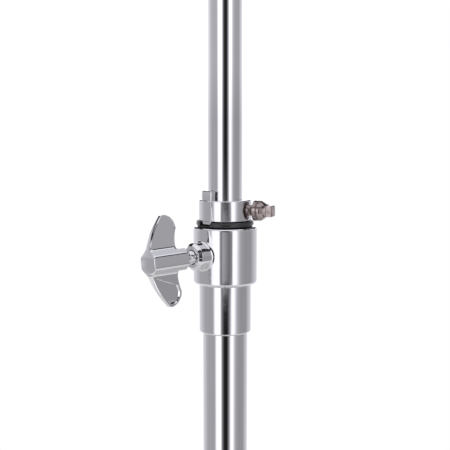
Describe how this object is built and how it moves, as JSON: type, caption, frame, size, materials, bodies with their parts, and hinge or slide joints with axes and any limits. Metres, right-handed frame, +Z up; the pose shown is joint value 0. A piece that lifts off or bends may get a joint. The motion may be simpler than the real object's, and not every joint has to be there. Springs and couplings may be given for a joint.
{
  "type": "hi-hat stand",
  "caption": "Chromed hi-hat stand: folding tripod, clamped telescoping height joint with memory lock, pedal, sprung pull rod and cymbal clutch.",
  "frame": {"origin": "centre of the flat sole of the cast base, on the floor, under the axis of the tubes", "axes": "+Z up along the tubes, -Y towards the heel of the pedal, +X to the player's right when facing +Y"},
  "size_m": [0.5946, 0.6706, 1.09],
  "materials": {
    "tube_chrome": "mirror-polished chrome on steel tube",
    "cast_chrome": "polished chrome on castings, slightly uneven",
    "strip_chrome": "chrome on flat steel strip",
    "turned_chrome": "chrome on small turned pieces",
    "dark_screw_steel": "warm dark nickel on screws and pins",
    "black_nylon": "black moulded nylon",
    "black_rubber": "matt black rubber",
    "grey_felt": "pressed grey wool felt",
    "spring_steel": "oiled spring wire"
  },
  "bodies": {
    "stand": {"base_casting": "cast_chrome", "base_screw": "dark_screw_steel", "lower_tube": "tube_chrome", "height_collar": "cast_chrome", "collar_set_screw": "dark_screw_steel", "tube_bushing": "black_nylon", "brace_hub": "cast_chrome", "brace_hub_screw": "dark_screw_steel", "spring_seat": "black_nylon", "rod_guide": "black_nylon", "heel_plate": "cast_chrome", "radius_rod_left": "tube_chrome", "radius_rod_right": "tube_chrome", "heel_hinge_pin": "dark_screw_steel"},
    "spur_left": {"spur_left": "turned_chrome"},
    "spur_right": {"spur_right": "turned_chrome"},
    "brace_1": {"brace_1": "strip_chrome"},
    "brace_2": {"brace_2": "strip_chrome"},
    "brace_3": {"brace_3": "strip_chrome"},
    "leg_1": {"leg_1": "strip_chrome", "leg_foot_1": "black_rubber"},
    "leg_2": {"leg_2": "strip_chrome", "leg_foot_2": "black_rubber"},
    "leg_3": {"leg_3": "strip_chrome", "leg_foot_3": "black_rubber"},
    "leg_hub": {"leg_hub": "cast_chrome"},
    "leg_hub_screw": {"leg_hub_wing_screw": "cast_chrome"},
    "height_screw": {"height_wing_screw": "cast_chrome"},
    "upper": {"upper_tube": "tube_chrome", "seat_cup": "cast_chrome"},
    "lock": {"memory_lock": "cast_chrome"},
    "lock_screw": {"memory_lock_screw": "dark_screw_steel"},
    "tilt_knob": {"tilt_screw": "turned_chrome"},
    "seat": {"seat_washer": "turned_chrome", "seat_felt": "grey_felt"},
    "footboard": {"footboard": "cast_chrome", "toe_pin": "dark_screw_steel"},
    "pull_rod": {"lower_pull_rod": "tube_chrome", "upper_pull_rod": "tube_chrome", "rod_coupling": "tube_chrome", "spring_collar": "tube_chrome", "return_spring": "spring_steel", "rod_yoke": "cast_chrome", "yoke_pin": "dark_screw_steel"},
    "link": {"drive_link": "cast_chrome"},
    "clutch": {"clutch_body": "turned_chrome", "clutch_lock_nut": "turned_chrome", "clutch_upper_nut": "turned_chrome", "clutch_upper_felt": "grey_felt", "clutch_lower_felt": "grey_felt"},
    "clutch_foot": {"clutch_foot_nut": "turned_chrome"},
    "clutch_screw": {"clutch_wing_screw": "cast_chrome"}
  },
  "joints": [
    {"name": "spur_left_screw", "type": "slide", "parent": "stand", "child": "spur_left", "axis": [0, 0, -1], "range_m": [0, 0.006]},
    {"name": "spur_right_screw", "type": "slide", "parent": "stand", "child": "spur_right", "axis": [0, 0, -1], "range_m": [0, 0.006]},
    {"name": "brace_1_fold", "type": "hinge", "parent": "stand", "child": "brace_1", "pos_m": [0.02338, -0.0135, 0.167], "axis": [-0.5, -0.866, 0], "range_deg": [0, 40]},
    {"name": "leg_1_fold", "type": "hinge", "parent": "brace_1", "child": "leg_1", "pos_m": [0.08436, -0.04871, 0.235], "axis": [-0.5, -0.866, 0], "range_deg": [-80, 0]},
    {"name": "brace_2_fold", "type": "hinge", "parent": "stand", "child": "brace_2", "pos_m": [0, 0.027, 0.167], "axis": [1, 0, 0], "range_deg": [0, 40]},
    {"name": "leg_2_fold", "type": "hinge", "parent": "brace_2", "child": "leg_2", "pos_m": [0, 0.09742, 0.235], "axis": [1, 0, 0], "range_deg": [-80, 0]},
    {"name": "brace_3_fold", "type": "hinge", "parent": "stand", "child": "brace_3", "pos_m": [-0.02338, -0.0135, 0.167], "axis": [-0.5, 0.866, 0], "range_deg": [0, 40]},
    {"name": "leg_3_fold", "type": "hinge", "parent": "brace_3", "child": "leg_3", "pos_m": [-0.08436, -0.04871, 0.235], "axis": [-0.5, 0.866, 0], "range_deg": [-80, 0]},
    {"name": "leg_hub_upright", "type": "hinge", "parent": "leg_1", "child": "leg_hub", "pos_m": [0.02338, -0.0135, 0.303], "axis": [-0.5, -0.866, 0], "range_deg": [0, 40]},
    {"name": "leg_hub_wing_turn", "type": "hinge", "parent": "leg_hub", "child": "leg_hub_screw", "pos_m": [0, 0, 0.303], "axis": [0.866, 0.5, 0], "range_deg": [0, 360]},
    {"name": "height_wing_turn", "type": "hinge", "parent": "stand", "child": "height_screw", "pos_m": [0, 0, 0.525], "axis": [-0.7193, -0.6947, 0], "range_deg": [0, 360]},
    {"name": "height_slide", "type": "slide", "parent": "stand", "child": "upper", "axis": [0, 0, 1], "range_m": [0, 0.115]},
    {"name": "memory_lock_slide", "type": "slide", "parent": "upper", "child": "lock", "axis": [0, 0, 1], "range_m": [0, 0.08]},
    {"name": "memory_lock_screw_turn", "type": "hinge", "parent": "lock", "child": "lock_screw", "pos_m": [0, 0, 0.54915], "axis": [0.9272, -0.3746, 0], "range_deg": [0, 360]},
    {"name": "tilt_screw_rise", "type": "slide", "parent": "upper", "child": "tilt_knob", "axis": [0, 0, 1], "range_m": [0, 0.0024]},
    {"name": "seat_tilt", "type": "hinge", "parent": "upper", "child": "seat", "pos_m": [-0.021, 0, 0.8136], "axis": [0, -1, 0], "range_deg": [0, 3.5]},
    {"name": "footboard_hinge", "type": "hinge", "parent": "stand", "child": "footboard", "pos_m": [0, -0.26371, 0.018], "axis": [-1, 0, 0], "range_deg": [0, 5.21]},
    {"name": "rod_slide", "type": "slide", "parent": "stand", "child": "pull_rod", "axis": [0, 0, -1], "range_m": [0, 0.0241], "stiffness_N_per_m": 400, "springref_m": -0.05, "deforming": ["return_spring"]},
    {"name": "drive_link_hinge", "type": "hinge", "parent": "pull_rod", "child": "link", "pos_m": [0, 0, 0.094], "axis": [1, 0, 0], "range_deg": [0, 8.65]},
    {"name": "clutch_slide", "type": "slide", "parent": "pull_rod", "child": "clutch", "axis": [0, 0, 1], "range_m": [-0.12, 0.02]},
    {"name": "clutch_foot_turn", "type": "hinge", "parent": "clutch", "child": "clutch_foot", "pos_m": [0, 0, 1.0041], "axis": [0, 0, 1], "continuous": true},
    {"name": "clutch_wing_turn", "type": "hinge", "parent": "clutch", "child": "clutch_screw", "pos_m": [0, 0, 1.048], "axis": [-0.7193, -0.6947, 0], "range_deg": [0, 360]}
  ],
  "couplings": [
    {"joint": "leg_1_fold", "follows": "brace_1_fold", "ratio": -2},
    {"joint": "brace_2_fold", "follows": "brace_1_fold", "ratio": 1},
    {"joint": "leg_2_fold", "follows": "brace_1_fold", "ratio": -2},
    {"joint": "brace_3_fold", "follows": "brace_1_fold", "ratio": 1},
    {"joint": "leg_3_fold", "follows": "brace_1_fold", "ratio": -2},
    {"joint": "leg_hub_upright", "follows": "brace_1_fold", "ratio": 1},
    {"joint": "seat_tilt", "follows": "tilt_screw_rise", "rad_per_m": 24.97},
    {"joint": "rod_slide", "follows": "footboard_hinge", "m_per_rad": 0.26393},
    {"joint": "drive_link_hinge", "follows": "footboard_hinge", "ratio": 1.6493}
  ]
}
